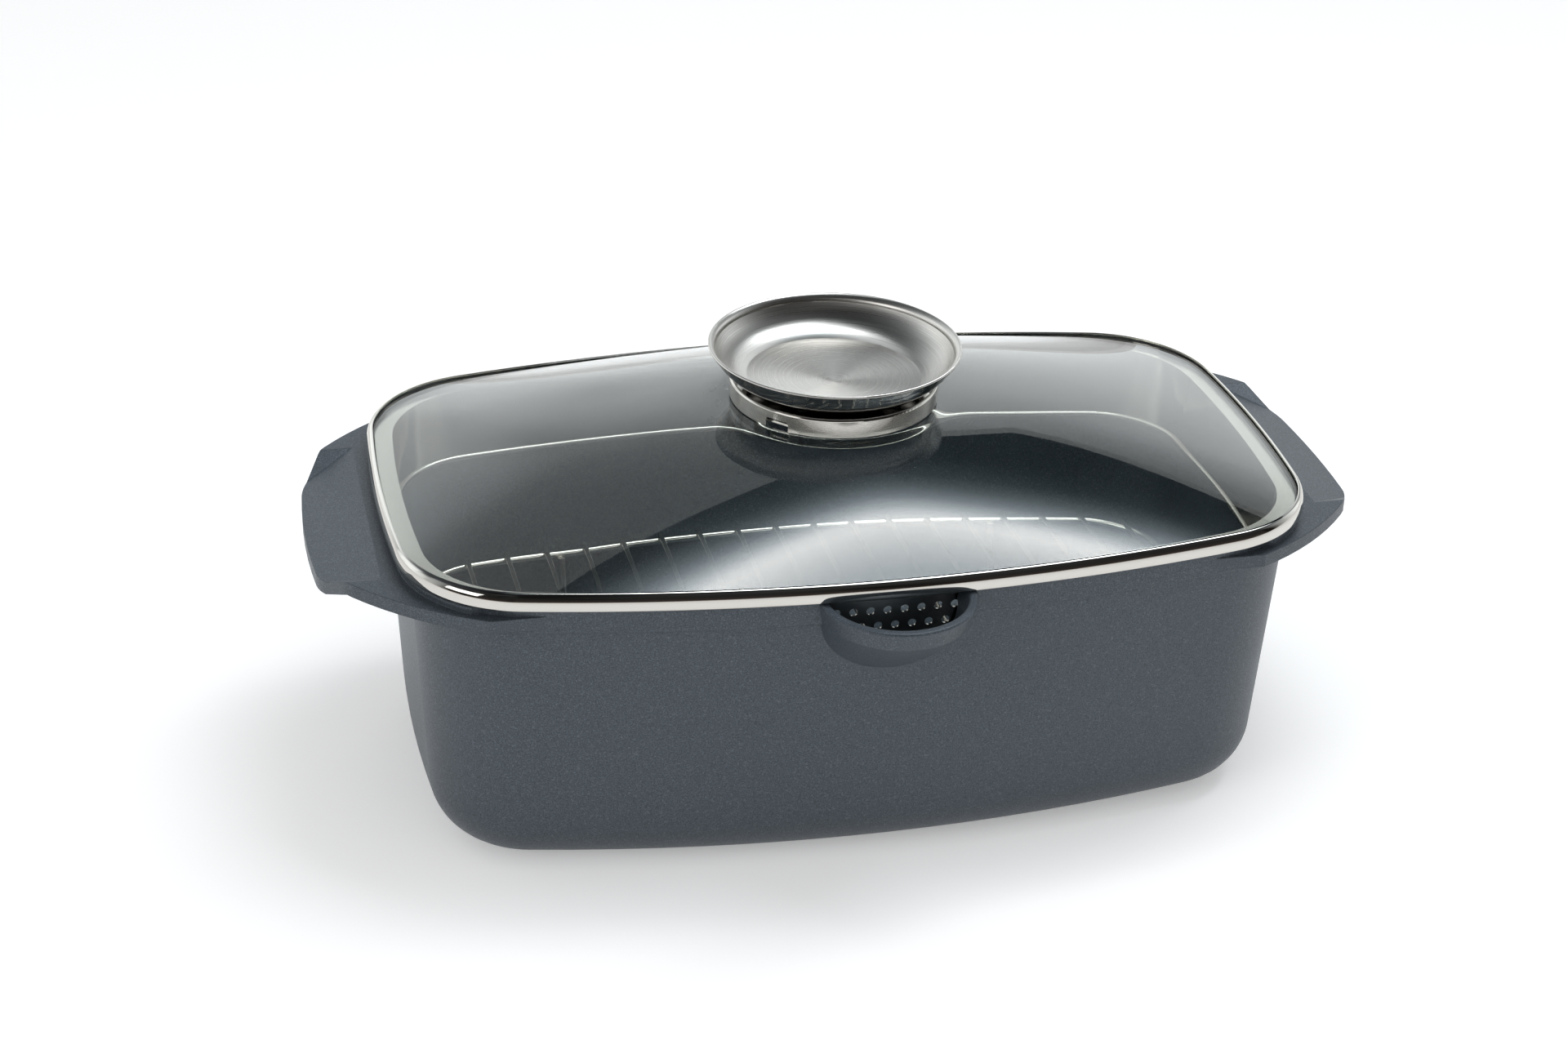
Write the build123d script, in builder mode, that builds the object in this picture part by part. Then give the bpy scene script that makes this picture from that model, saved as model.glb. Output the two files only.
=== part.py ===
from build123d import *
import math
import os

# Roasting pan with a glass lid and a wire rack, in millimetres.
# The origin is the middle of the base, +Z is up, +X runs along the long side, -Y is the front.

# Outline of the lid at its widest: four arcs joined by round corners
lid_half_length = 190.0
lid_half_width = 114.9
long_side_radius = 740.0
short_side_radius = 640.0
outline_corner_radius = 54.0

# Pan walls
rim_height = 127.0
wall_draft = 3.3
wall_thickness = 3.6
floor_thickness = 5.0
wall_inset = 5.9
base_edge_radius = 25.0
base_recess_depth = 0.6
base_recess_inset = 48.0
collar_height = 11.0
collar_proud = 1.5
collar_edge_radius = 1.4
collar_foot_radius = 0.8
rim_edge_radius = 0.8
ledge_proud = 3.9
ledge_drop = 0.5
ledge_edge_radius = 0.9
ledge_end_x = 158.0
floor_edge_radius = 20.0

# Wing handles at both ends
wing_half_span = 218.5
wing_corner_in = 2.0
wing_corner_y = 38.0
wing_shoulder_in = 11.5
wing_shoulder_y = 58.0
wing_side_in = 28.5
wing_side_y = 75.8
wing_root_in = 62.0
wing_root_y = 98.0
wing_inner_in = 90.0
wing_corner_radius = 26.0
wing_thickness = 5.6
wing_top_drop = 3.4
grip_slope_run = 25.0
grip_drop = 8.8
grip_foot_half = 40.0
grip_spare = 3.0

# Pouring lips in the middle of both long sides
lip_radius = 31.9
lip_centre_y = 109.5
lip_thickness = 3.8
lip_straight_height = 8.2
lip_bore_lift = 1.6
lip_draft = 15.0
lip_foot_run = 34.0
lip_foot_drop = 27.6
lip_blend_radius = 14.0
lip_edge_radius = 1.0
lip_root_y = 108.9
lip_root_half_width = 50.0
lip_root_depth = 12.0

# Space between pieces that move apart
lift_gap = 0.3

# Lid band, a steel channel bent round the edge of the glass
sheet = 0.8
band_height = 7.7
band_top_radius = 2.6
band_foot_radius = 1.8
band_top_lip = 2.9
band_foot_lip = 5.2

# Strainer ring: flange under the glass, skirt inside the pan, holes before the pouring lips
skirt_inset = 10.8
skirt_depth = 29.0
bead_radius = 1.1
bead_shift = 0.3
bead_round_share = 0.8
hole_diameter = 3.4
hole_pitch = 6.84
hole_row_pitch = 7.0
hole_first_drop = 10.3
hole_shift = 1.7
holes_in_row = 10
hole_rows = 3

# Glass and its edge seal
glass_thickness = 4.0
seal_foot = 0.6
seal_wall = 1.3
seal_fit = 0.1
seal_corner_gap = 0.4
seal_width = 3.4
glass_seat_height = 34.5
glass_peak_height = 36.4
flat_radius = 45.0
blend_radius = 82.0
grid_half_count_x = 20
grid_half_count_y = 12
grid_margin = 6.0
steam_hole_diameter = 6.0
steam_hole_reach = 24.0
stud_clearance = 0.5

# Knob: a drip dish on a hub, inside a turning vent ring
knob_seal_thickness = 1.0
knob_seal_radius = 38.0
ring_radius = 43.1
ring_wall = 1.2
ring_foot_gap = 0.4
ring_height = 8.0
ring_top_radius = 1.1
ring_plate_thickness = 0.9
ring_bore_radius = 9.3
slot_width = 10.5
slot_height = 4.0
slot_corner_radius = 1.0
slot_angle = -135.8
hub_stem_radius = 9.0
hub_head_radius = 17.0
dish_floor_height = 39.9
dish_floor_radius = 36.0
dish_floor_rise = 3.2
dish_wall_radius = 49.0
dish_wall_sag = 1.6
dish_rim_radius = 52.0
dish_rim_height = 57.2
dish_sheet = 1.0
dish_flare = 3.2
dish_flare_sag = 0.45
drip_hole_diameter = 1.4
stud_radius = 4.0
stud_bore_diameter = 2.2
lower_seal_radius = 13.0
lower_seal_thickness = 1.6
washer_radius = 12.0
washer_thickness = 1.5
nut_across_flats = 13.0
nut_height = 6.5
stud_tail = 1.5
thread_fit = 0.05

slot_cut_depth = 3.0
hub_edge_radius = 1.0
dish_edge_in = 0.8
dish_edge_drop = 0.25
stud_chamfer = 0.6
washer_edge_radius = 0.6
cross_overhang = 1.2
cross_end_chamfer = 0.3

# Wire rack
frame_wire_radius = 1.75
cross_wire_radius = 1.1
rack_inset = 17.3
rack_drop = 80.0
cross_end_gap = 11.6
cross_half_count = 9
leg_middle_gap = 101.0
leg_wire_radius = 1.75
leg_bend_radius = 9.0
leg_splay = 10.0

band_foot_z = rim_height + lift_gap
flange_z = band_foot_z + sheet
seal_foot_z = flange_z + sheet
glass_edge_z = seal_foot_z + seal_foot
glass_edge_top_z = glass_edge_z + glass_thickness
glass_inset = sheet + seal_wall
glass_seat_z = rim_height + glass_seat_height
glass_peak_z = rim_height + glass_peak_height
wall_slope = math.tan(math.radians(wall_draft))


def outline_at(inset, height):
    """Sketch of the shared outline, moved inwards, on a level plane."""
    long_centre = long_side_radius - lid_half_width
    short_centre = short_side_radius - lid_half_length
    with BuildSketch(Plane.XY.offset(height)) as shape:
        with Locations((0, -long_centre)):
            Circle(long_side_radius - inset)
        with Locations((0, long_centre)):
            Circle(long_side_radius - inset, mode=Mode.INTERSECT)
        with Locations((-short_centre, 0)):
            Circle(short_side_radius - inset, mode=Mode.INTERSECT)
        with Locations((short_centre, 0)):
            Circle(short_side_radius - inset, mode=Mode.INTERSECT)
        fillet(shape.vertices(), radius=outline_corner_radius - inset)
    return shape.sketch


# Centre of the round corner: it lies at a known distance from both side arcs' centres
long_centre_y = lid_half_width - long_side_radius
short_centre_x = lid_half_length - short_side_radius
centre_span = math.hypot(short_centre_x, long_centre_y)
long_reach = long_side_radius - outline_corner_radius
short_reach = short_side_radius - outline_corner_radius
along = (centre_span**2 + long_reach**2 - short_reach**2) / (2 * centre_span)
across = math.sqrt(long_reach**2 - along**2)
unit_x = short_centre_x / centre_span
unit_y = -long_centre_y / centre_span
corner_x = unit_x * along + unit_y * across
corner_y = long_centre_y + unit_y * along - unit_x * across


def half_width_at(x, inset):
    """Half width of the outline at a place along its length."""
    reach = abs(x)
    tangent_x = corner_x * (long_side_radius - inset) / long_reach
    if reach <= tangent_x:
        return long_centre_y + math.sqrt((long_side_radius - inset) ** 2 - reach**2)
    return corner_y + math.sqrt((outline_corner_radius - inset) ** 2 - (reach - corner_x) ** 2)


def ray_to_circle(angle, centre_x, centre_y, radius):
    """Distance along a ray from the origin to the far side of a circle."""
    middle = centre_x * math.cos(angle) + centre_y * math.sin(angle)
    offset_square = centre_x**2 + centre_y**2 - middle**2
    return middle + math.sqrt(max(radius**2 - offset_square, 0.0))


def reach_at(angle, inset):
    """Distance from the middle to the outline in one direction."""
    folded = math.atan2(abs(math.sin(angle)), abs(math.cos(angle)))
    long_tangent = math.atan2(
        long_centre_y + (corner_y - long_centre_y) * (long_side_radius - inset) / long_reach,
        corner_x * (long_side_radius - inset) / long_reach,
    )
    short_tangent = math.atan2(
        corner_y * (short_side_radius - inset) / short_reach,
        short_centre_x + (corner_x - short_centre_x) * (short_side_radius - inset) / short_reach,
    )
    if folded >= long_tangent:
        return ray_to_circle(folded, 0.0, long_centre_y, long_side_radius - inset)
    if folded <= short_tangent:
        return ray_to_circle(folded, short_centre_x, 0.0, short_side_radius - inset)
    return ray_to_circle(folded, corner_x, corner_y, outline_corner_radius - inset)


def dome_height(x, y):
    """Top of the glass: level at its edge and, under the knob, flat."""
    radius = math.hypot(x, y)
    reach = reach_at(math.atan2(y, x), glass_inset)
    outline_share = (radius / reach) ** 2
    oval_x = x / (lid_half_length - glass_inset)
    oval_y = y / (lid_half_width - glass_inset)
    oval_share = oval_x**2 + oval_y**2
    share = oval_share + (outline_share - oval_share) * outline_share
    dome = glass_edge_top_z + (glass_peak_z - glass_edge_top_z) * (1.0 - share)
    step = min(max((blend_radius - radius) / (blend_radius - flat_radius), 0.0), 1.0)
    flatness = step * step * (3.0 - 2.0 * step)
    return dome + (glass_seat_z - dome) * flatness


# One wing handle: a level plate whose middle slopes down outwards, with a sloped facet at each end
wing_top_z = rim_height - wing_top_drop
wing_foot_z = wing_top_z - wing_thickness
grip_start_x = wing_half_span - grip_slope_run
grip_far_x = wing_half_span + grip_spare
grip_far_drop = grip_drop * (grip_slope_run + grip_spare) / grip_slope_run
facet_slope = grip_drop / (wing_shoulder_y - grip_foot_half)
facet_far_y = wing_shoulder_y - grip_far_drop / facet_slope


def grip_space(top_z):
    """Space above the sloped grip and its two end facets, down from a level plane."""
    with BuildPart() as space:
        with BuildSketch(Plane.XZ):
            with BuildLine():
                Polyline(
                    (grip_start_x, top_z),
                    (grip_far_x, top_z - grip_far_drop),
                    (grip_far_x, rim_height),
                    (grip_start_x, rim_height),
                    close=True,
                )
            make_face()
        extrude(amount=wing_shoulder_y, both=True)
        with BuildSketch(Plane.YZ):
            with BuildLine():
                Polyline(
                    (-wing_shoulder_y, top_z),
                    (-facet_far_y, top_z - grip_far_drop),
                    (facet_far_y, top_z - grip_far_drop),
                    (wing_shoulder_y, top_z),
                    (wing_shoulder_y, rim_height),
                    (-wing_shoulder_y, rim_height),
                    close=True,
                )
            make_face()
        extrude(amount=grip_far_x, mode=Mode.INTERSECT)
    return space.part


with BuildPart() as wing:
    with BuildSketch(Plane.XY.offset(wing_foot_z)):
        with Locations((grip_start_x, 0)):
            Rectangle(wing_half_span, wing_root_y + wing_root_y)
    extrude(amount=wing_thickness)
    add(grip_space(wing_foot_z))
    add(grip_space(wing_top_z), mode=Mode.SUBTRACT)
    with BuildSketch() as wing_plan:
        with BuildLine():
            ThreePointArc(
                (wing_half_span - wing_corner_in, -wing_corner_y),
                (wing_half_span, 0),
                (wing_half_span - wing_corner_in, wing_corner_y),
            )
            Line(
                (wing_half_span - wing_corner_in, wing_corner_y),
                (wing_half_span - wing_shoulder_in, wing_shoulder_y),
            )
            ThreePointArc(
                (wing_half_span - wing_shoulder_in, wing_shoulder_y),
                (wing_half_span - wing_side_in, wing_side_y),
                (wing_half_span - wing_root_in, wing_root_y),
            )
            Polyline(
                (wing_half_span - wing_root_in, wing_root_y),
                (wing_half_span - wing_inner_in, wing_root_y),
                (wing_half_span - wing_inner_in, -wing_root_y),
                (wing_half_span - wing_root_in, -wing_root_y),
            )
            ThreePointArc(
                (wing_half_span - wing_root_in, -wing_root_y),
                (wing_half_span - wing_side_in, -wing_side_y),
                (wing_half_span - wing_shoulder_in, -wing_shoulder_y),
            )
            Line(
                (wing_half_span - wing_shoulder_in, -wing_shoulder_y),
                (wing_half_span - wing_corner_in, -wing_corner_y),
            )
        make_face()
        fillet(wing_plan.vertices().sort_by(Axis.X)[-4:], radius=wing_corner_radius)
    extrude(amount=wing_top_z, mode=Mode.INTERSECT)
    mirror(about=Plane.YZ)

# Pouring lips: a half-round wall over a foot that slants back to the pan, outside and inside
lip_bore = lip_radius - lip_thickness
lip_foot_length = math.hypot(lip_foot_run, lip_foot_drop)
lip_foot_way = (0, lip_foot_run, -lip_foot_drop)
with BuildPart() as lip_outside:
    with BuildSketch(Plane.XY.offset(rim_height)) as lip_plan:
        with Locations(Location((0, -lip_centre_y, 0), (0, 0, 90))):
            Circle(lip_radius)
        with Locations((0, lip_root_depth / 2 - lip_root_y)):
            Rectangle(lip_root_half_width + lip_root_half_width, lip_root_depth)
        root_corners = lip_plan.vertices().filter_by_position(Axis.Y, -lip_root_y, -lip_root_y)
        fillet(root_corners.sort_by(Axis.X)[1:-1], radius=lip_blend_radius)
    extrude(amount=-lip_straight_height, taper=lip_draft)
    extrude(lip_outside.faces().sort_by(Axis.Z)[0], amount=lip_foot_length, dir=lip_foot_way)
    fillet(lip_outside.faces().sort_by(Axis.Z)[-1].edges(), radius=lip_edge_radius)
    mirror(about=Plane.XZ)

with BuildPart() as lip_inside:
    with BuildSketch(Plane.XY.offset(rim_height)):
        with Locations(Location((0, -lip_centre_y, 0), (0, 0, 90))):
            Circle(lip_bore)
    extrude(amount=lip_bore_lift - lip_straight_height, taper=lip_draft)
    extrude(lip_inside.faces().sort_by(Axis.Z)[0], amount=lip_foot_length, dir=lip_foot_way)
    mirror(about=Plane.XZ)

# Inside of the pan, kept for the cut
with BuildPart() as cavity:
    add(outline_at(wall_inset + wall_thickness, rim_height))
    extrude(amount=floor_thickness - rim_height, taper=wall_draft)
    fillet(cavity.edges().group_by(Axis.Z)[0], radius=floor_edge_radius)
    add(outline_at(wall_inset + wall_thickness, rim_height))
    extrude(amount=collar_height)

# Collar round the top of the pan
with BuildPart() as collar:
    add(outline_at(wall_inset - collar_proud, rim_height))
    extrude(amount=-collar_height)
    fillet(collar.edges().group_by(Axis.Z)[-1], radius=collar_edge_radius)
    fillet(collar.edges().group_by(Axis.Z)[0], radius=collar_foot_radius)

# Ledge between the collar and each wing, which runs into the collar beyond the corners
ledge_half_width = half_width_at(ledge_end_x, wall_inset - collar_proud)
with BuildPart() as end_ledge:
    with BuildSketch(Plane.XY.offset(wing_foot_z)):
        add(outline_at(wall_inset - ledge_proud, 0))
        Rectangle(lid_half_length + lid_half_length, ledge_half_width + ledge_half_width, mode=Mode.INTERSECT)
    extrude(amount=rim_height - ledge_drop - wing_foot_z)
    fillet(end_ledge.edges().group_by(Axis.Z)[-1], radius=ledge_edge_radius)

# The cast pan
with BuildPart() as pan_body:
    add(outline_at(wall_inset, rim_height))
    extrude(amount=-rim_height, taper=wall_draft)
    fillet(pan_body.edges().group_by(Axis.Z)[0], radius=base_edge_radius)
    add(collar.part)
    add(end_ledge.part)
    add(wing.part)
    add(lip_outside.part)
    add(cavity.part, mode=Mode.SUBTRACT)
    add(lip_inside.part, mode=Mode.SUBTRACT)
    add(outline_at(base_recess_inset, 0))
    extrude(amount=base_recess_depth, mode=Mode.SUBTRACT)
    rim_face = pan_body.faces().filter_by(GeomType.PLANE).sort_by(Axis.Z)[-1]
    fillet(rim_face.inner_wires()[0].edges(), radius=rim_edge_radius)
pan_body.part.label = "pan_body"

# Steel band round the lid, a channel open towards the middle
with BuildPart() as lid_band:
    add(outline_at(0, band_foot_z))
    extrude(amount=band_height)
    fillet(lid_band.edges().group_by(Axis.Z)[-1], radius=band_top_radius)
    fillet(lid_band.edges().group_by(Axis.Z)[0], radius=band_foot_radius)
    add(outline_at(band_top_lip, seal_foot_z))
    extrude(amount=band_height, mode=Mode.SUBTRACT)
    add(outline_at(band_foot_lip, band_foot_z))
    extrude(amount=band_height, mode=Mode.SUBTRACT)

with BuildPart() as band_hollow:
    add(outline_at(sheet, flange_z))
    extrude(amount=band_height - sheet - sheet)
    fillet(band_hollow.edges().group_by(Axis.Z)[-1], radius=band_top_radius - sheet)
    fillet(band_hollow.edges().group_by(Axis.Z)[0], radius=band_foot_radius - sheet)

with lid_band:
    add(band_hollow.part, mode=Mode.SUBTRACT)
lid_band.part.label = "lid_band"

# Strainer ring: a flange under the glass and a tapered skirt with a rolled foot
skirt_top_z = seal_foot_z
skirt_foot_z = rim_height - skirt_depth
bead_middle_inset = skirt_inset + (skirt_top_z - skirt_foot_z) * wall_slope + sheet / 2 + bead_shift
with BuildPart() as skirt_bore:
    add(outline_at(skirt_inset + sheet, skirt_top_z))
    extrude(amount=skirt_foot_z - skirt_top_z, taper=wall_draft)

with BuildPart() as strainer_ring:
    add(outline_at(skirt_inset, skirt_top_z))
    extrude(amount=skirt_foot_z + bead_radius - skirt_top_z, taper=wall_draft)
    add(skirt_bore.part, mode=Mode.SUBTRACT)
    with BuildSketch(Plane.XZ):
        for row in range(hole_rows):
            row_shift = row % 2
            row_z = rim_height - hole_first_drop - row * hole_row_pitch
            with Locations((hole_shift, row_z)):
                with GridLocations(hole_pitch, hole_row_pitch, holes_in_row - row_shift, 1):
                    Circle(hole_diameter / 2)
    extrude(amount=lid_half_width, both=True, mode=Mode.SUBTRACT)

with BuildPart() as skirt_bead:
    add(outline_at(bead_middle_inset - bead_radius, skirt_foot_z))
    extrude(amount=bead_radius + bead_radius)
    add(outline_at(bead_middle_inset + bead_radius, skirt_foot_z))
    extrude(amount=bead_radius + bead_radius, mode=Mode.SUBTRACT)
    fillet(skirt_bead.edges().group_by(Axis.Z)[0], radius=bead_radius * bead_round_share)
    fillet(skirt_bead.edges().group_by(Axis.Z)[-1], radius=bead_radius * bead_round_share)

with BuildPart() as skirt_flange:
    add(outline_at(band_foot_radius, flange_z))
    extrude(amount=sheet)
    add(outline_at(skirt_inset + sheet, flange_z))
    extrude(amount=sheet, mode=Mode.SUBTRACT)

with strainer_ring:
    add(skirt_flange.part)
    add(skirt_bead.part)
strainer_ring.part.label = "strainer_ring"

# Glass: one smooth face over a grid of heights, given its thickness and trimmed to the outline
step_x = (lid_half_length + grid_margin) / grid_half_count_x
step_y = (lid_half_width + grid_margin) / grid_half_count_y
dome_grid = [
    [
        Vector(i * step_x, j * step_y, dome_height(i * step_x, j * step_y))
        for j in range(-grid_half_count_y, grid_half_count_y + 1)
    ]
    for i in range(-grid_half_count_x, grid_half_count_x + 1)
]
dome_face = Face.make_surface_from_array_of_points(dome_grid, min_deg=3, max_deg=8)
with BuildPart() as lid_glass:
    extrude(dome_face, amount=glass_thickness, dir=(0, 0, -1))
    add(outline_at(glass_inset, glass_edge_z - glass_thickness))
    extrude(amount=glass_peak_height, mode=Mode.INTERSECT)
    with BuildSketch(Plane.XY.offset(glass_seat_z + glass_thickness)):
        Circle(stud_radius + stud_clearance)
    extrude(amount=-3 * glass_thickness, mode=Mode.SUBTRACT)
    with BuildSketch(Plane.XY.offset(glass_seat_z + glass_thickness)):
        with PolarLocations(steam_hole_reach, 1, slot_angle):
            Circle(steam_hole_diameter / 2)
    extrude(amount=-3 * glass_thickness, mode=Mode.SUBTRACT)
lid_glass.part.label = "lid_glass"

# Seal between the edge of the glass and the steel: an upright wall and a flat foot
with BuildPart() as edge_seal:
    add(outline_at(sheet + seal_corner_gap, seal_foot_z))
    extrude(amount=seal_foot + glass_thickness)
    add(outline_at(glass_inset - seal_fit, glass_edge_z - seal_fit))
    extrude(amount=band_height, mode=Mode.SUBTRACT)
    add(outline_at(sheet + seal_width, seal_foot_z))
    extrude(amount=band_height, mode=Mode.SUBTRACT)
edge_seal.part.label = "edge_seal"

# Knob seal on the glass
with BuildPart() as knob_seal:
    with BuildSketch(Plane.XY.offset(glass_seat_z)):
        Circle(knob_seal_radius)
        Circle(stud_radius + stud_clearance, mode=Mode.SUBTRACT)
        with PolarLocations(steam_hole_reach, 1, slot_angle):
            Circle(steam_hole_diameter / 2 + stud_clearance, mode=Mode.SUBTRACT)
    extrude(amount=knob_seal_thickness)
knob_seal.part.label = "knob_seal"

# Vent ring: a short drum with a floor plate that turns round the hub
ring_foot_z = glass_seat_z + ring_foot_gap
plate_z = glass_seat_z + knob_seal_thickness + lift_gap
with BuildPart() as vent_ring:
    with BuildSketch(Plane.XY.offset(ring_foot_z)):
        Circle(ring_radius)
    extrude(amount=ring_height)
    fillet(vent_ring.edges().group_by(Axis.Z)[-1], radius=ring_top_radius)
    with BuildSketch(Plane.XY.offset(ring_foot_z)):
        Circle(ring_radius - ring_wall)
    extrude(amount=plate_z - ring_foot_z, mode=Mode.SUBTRACT)
    with BuildSketch(Plane.XY.offset(plate_z + ring_plate_thickness)):
        Circle(ring_radius - ring_wall)
    extrude(amount=ring_height, mode=Mode.SUBTRACT)
    with BuildSketch(Plane.XY.offset(plate_z)):
        Circle(ring_bore_radius)
        with PolarLocations(steam_hole_reach, 1, slot_angle):
            Circle(steam_hole_diameter / 2)
    extrude(amount=ring_height, mode=Mode.SUBTRACT)
    slot_direction = Vector(1, 0, 0).rotate(Axis.Z, slot_angle)
    slot_middle = slot_direction * (ring_radius - slot_cut_depth) + Vector(0, 0, ring_foot_z)
    slot_plane = Plane(origin=slot_middle, z_dir=slot_direction, x_dir=slot_direction.rotate(Axis.Z, 90))
    with BuildSketch(slot_plane) as slot_shape:
        Rectangle(slot_width, slot_height + slot_height)
        fillet(slot_shape.vertices(), radius=slot_corner_radius)
    extrude(amount=slot_cut_depth + ring_wall, mode=Mode.SUBTRACT)
vent_ring.part.label = "vent_ring"

# Hub that carries the dish
hub_foot_z = glass_seat_z + knob_seal_thickness
hub_head_z = plate_z + ring_plate_thickness + lift_gap
dish_foot_z = rim_height + dish_floor_height - dish_sheet
with BuildPart() as knob_hub:
    with BuildSketch(Plane.XY.offset(hub_foot_z)):
        Circle(hub_stem_radius)
    extrude(amount=dish_foot_z - hub_foot_z)
    with BuildSketch(Plane.XY.offset(hub_head_z)):
        Circle(hub_head_radius)
    extrude(amount=dish_foot_z - hub_head_z)
    fillet(knob_hub.edges().group_by(Axis.Z)[-1], radius=hub_edge_radius)
    with BuildSketch(Plane.XY.offset(hub_foot_z)):
        Circle(stud_radius + thread_fit)
    extrude(amount=dish_foot_z - hub_foot_z, mode=Mode.SUBTRACT)
knob_hub.part.label = "knob_hub"

# Drip dish: spun sheet with a shallow cone as floor, a curved wall and a flared rim
floor_z = rim_height + dish_floor_height
floor_edge_z = floor_z + dish_floor_rise
rim_z = rim_height + dish_rim_height
wall_top_z = rim_z - dish_flare
edge_radius_in = dish_rim_radius - dish_edge_in


def sagged(start, end, sag):
    """Point beside the middle of a line, to its right, so far that an arc through it sags by that much."""
    run = end[0] - start[0]
    rise = end[1] - start[1]
    length = math.hypot(run, rise)
    return ((start[0] + end[0]) / 2 + sag * rise / length, (start[1] + end[1]) / 2 - sag * run / length)


floor_edge = (dish_floor_radius, floor_edge_z)
wall_top = (dish_wall_radius, wall_top_z)
edge_top = (edge_radius_in, rim_z)
edge_side = (dish_rim_radius, rim_z - dish_edge_drop)
edge_foot = (dish_rim_radius, rim_z - dish_sheet)
outer_wall_top = (dish_wall_radius + dish_sheet, wall_top_z - dish_sheet / 2)
outer_floor_edge = (dish_floor_radius, floor_edge_z - dish_sheet)
outer_wall_middle = sagged(outer_floor_edge, outer_wall_top, dish_wall_sag)
with BuildPart() as drip_dish:
    with BuildSketch(Plane.XZ):
        with BuildLine():
            Line((0, floor_z), floor_edge)
            ThreePointArc(floor_edge, sagged(floor_edge, wall_top, dish_wall_sag), wall_top)
            ThreePointArc(wall_top, sagged(wall_top, edge_top, -dish_flare_sag), edge_top)
            ThreePointArc(edge_top, edge_side, edge_foot)
            Line(edge_foot, outer_wall_top)
            ThreePointArc(outer_wall_top, outer_wall_middle, outer_floor_edge)
            Line(outer_floor_edge, (0, dish_foot_z))
            Line((0, dish_foot_z), (0, floor_z))
        make_face()
    revolve(axis=Axis.Z)
    with BuildSketch(Plane.XY.offset(dish_foot_z)):
        Circle(drip_hole_diameter / 2)
    extrude(amount=dish_sheet, mode=Mode.SUBTRACT)
drip_dish.part.label = "drip_dish"

# Pieces under the glass, held by the hollow stud
glass_foot_z = glass_seat_z - glass_thickness
lower_seal_z = glass_foot_z - lower_seal_thickness
washer_z = lower_seal_z - washer_thickness
nut_z = washer_z - nut_height
with BuildPart() as drip_stud:
    with BuildSketch(Plane.XY.offset(nut_z - stud_tail)):
        Circle(stud_radius)
        Circle(stud_bore_diameter / 2, mode=Mode.SUBTRACT)
    extrude(amount=dish_foot_z - nut_z + stud_tail)
    chamfer(drip_stud.edges().group_by(Axis.Z)[0].sort_by(SortBy.LENGTH)[-1], length=stud_chamfer)
drip_stud.part.label = "drip_stud"

with BuildPart() as lower_seal:
    with BuildSketch(Plane.XY.offset(lower_seal_z)):
        Circle(lower_seal_radius)
        Circle(stud_radius + stud_clearance, mode=Mode.SUBTRACT)
    extrude(amount=lower_seal_thickness)
lower_seal.part.label = "lower_seal"

with BuildPart() as knob_washer:
    with BuildSketch(Plane.XY.offset(washer_z)):
        Circle(washer_radius)
        Circle(stud_radius + thread_fit, mode=Mode.SUBTRACT)
    extrude(amount=washer_thickness)
    fillet(knob_washer.edges().group_by(Axis.Z)[0].sort_by(SortBy.LENGTH)[-1], radius=washer_edge_radius)
knob_washer.part.label = "knob_washer"

with BuildPart() as knob_nut:
    with BuildSketch(Plane.XY.offset(nut_z)):
        RegularPolygon(nut_across_flats / 2, 6, major_radius=False)
        Circle(stud_radius + thread_fit, mode=Mode.SUBTRACT)
    extrude(amount=nut_height)
knob_nut.part.label = "knob_nut"

# Rack frame: one wire bent to the outline
frame_z = rim_height - rack_drop
frame_path = outline_at(rack_inset, frame_z).wire()
with BuildPart() as rack_frame:
    with BuildSketch(Plane(origin=frame_path @ 0, z_dir=frame_path % 0)):
        Circle(frame_wire_radius)
    sweep(path=frame_path)
rack_frame.part.label = "rack_frame"

# Two leg wires, each a wide U across the pan, standing on the floor
leg_top_y = half_width_at(leg_middle_gap, rack_inset) - frame_wire_radius - leg_wire_radius
leg_foot_z = floor_thickness + lift_gap + leg_wire_radius
leg_wires = []
for leg_number, leg_place in enumerate((-leg_middle_gap, leg_middle_gap), start=1):
    with BuildPart() as leg_wire:
        with BuildLine(Plane.YZ.offset(leg_place)) as leg_path:
            FilletPolyline(
                (-leg_top_y, frame_z),
                (-leg_top_y + leg_splay, leg_foot_z),
                (leg_top_y - leg_splay, leg_foot_z),
                (leg_top_y, frame_z),
                radius=leg_bend_radius,
            )
        leg_line = leg_path.wire()
        with BuildSketch(Plane(origin=leg_line @ 0, z_dir=leg_line % 0)):
            Circle(leg_wire_radius)
        sweep(path=leg_line)
    leg_wire.part.label = f"leg_wire_{leg_number}"
    leg_wires.append(leg_wire.part)

# Cross wires, welded on top of the frame at one pitch
cross_z = frame_z + frame_wire_radius + cross_wire_radius
cross_pitch = (lid_half_length - rack_inset - cross_end_gap) / cross_half_count
cross_wires = []
for cross_number in range(-cross_half_count, cross_half_count + 1):
    cross_x = cross_number * cross_pitch
    cross_half = half_width_at(cross_x, rack_inset) + cross_overhang
    with BuildPart() as cross_wire:
        with BuildSketch(Plane.XZ):
            with Locations((cross_x, cross_z)):
                Circle(cross_wire_radius)
        extrude(amount=cross_half, both=True)
        chamfer(cross_wire.edges(), length=cross_end_chamfer)
    cross_wire.part.label = f"cross_wire_{cross_number + cross_half_count + 1:02d}"
    cross_wires.append(cross_wire.part)

finished = [
    pan_body.part,
    lid_band.part,
    strainer_ring.part,
    lid_glass.part,
    edge_seal.part,
    knob_seal.part,
    vent_ring.part,
    knob_hub.part,
    drip_dish.part,
    drip_stud.part,
    lower_seal.part,
    knob_washer.part,
    knob_nut.part,
    rack_frame.part,
]
os.makedirs("parts", exist_ok=True)
for piece in finished + leg_wires + cross_wires:
    export_step(piece, f"parts/{piece.label}.step")
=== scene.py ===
import math

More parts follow.
